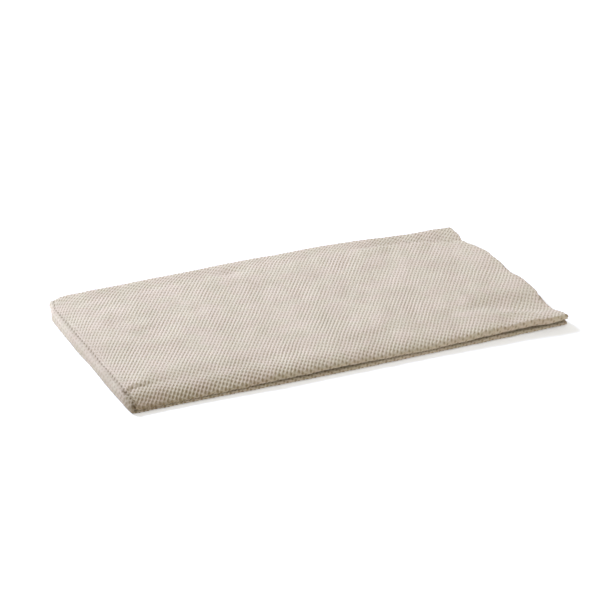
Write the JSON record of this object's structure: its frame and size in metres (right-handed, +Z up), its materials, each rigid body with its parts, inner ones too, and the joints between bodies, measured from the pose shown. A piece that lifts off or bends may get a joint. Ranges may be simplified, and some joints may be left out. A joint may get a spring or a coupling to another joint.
{
  "type": "paper napkin",
  "caption": "Soft natural-brown paper napkin with fine diagonal embossing, folded lengthwise and then across into a flat rectangle that lies on a table.",
  "frame": {"origin": "bottom centre of the folded napkin, on the surface it lies on", "axes": "+X along the folded napkin's long side towards the cut ends, +Y towards the free edges and the first fold, +Z up, out of the face that shows"},
  "size_m": [0.2004, 0.1062, 0.0054],
  "materials": {
    "tissue": "soft matte, embossed with fine diagonal ridges"
  },
  "bodies": {
    "root": {"napkin": "tissue"}
  },
  "joints": []
}
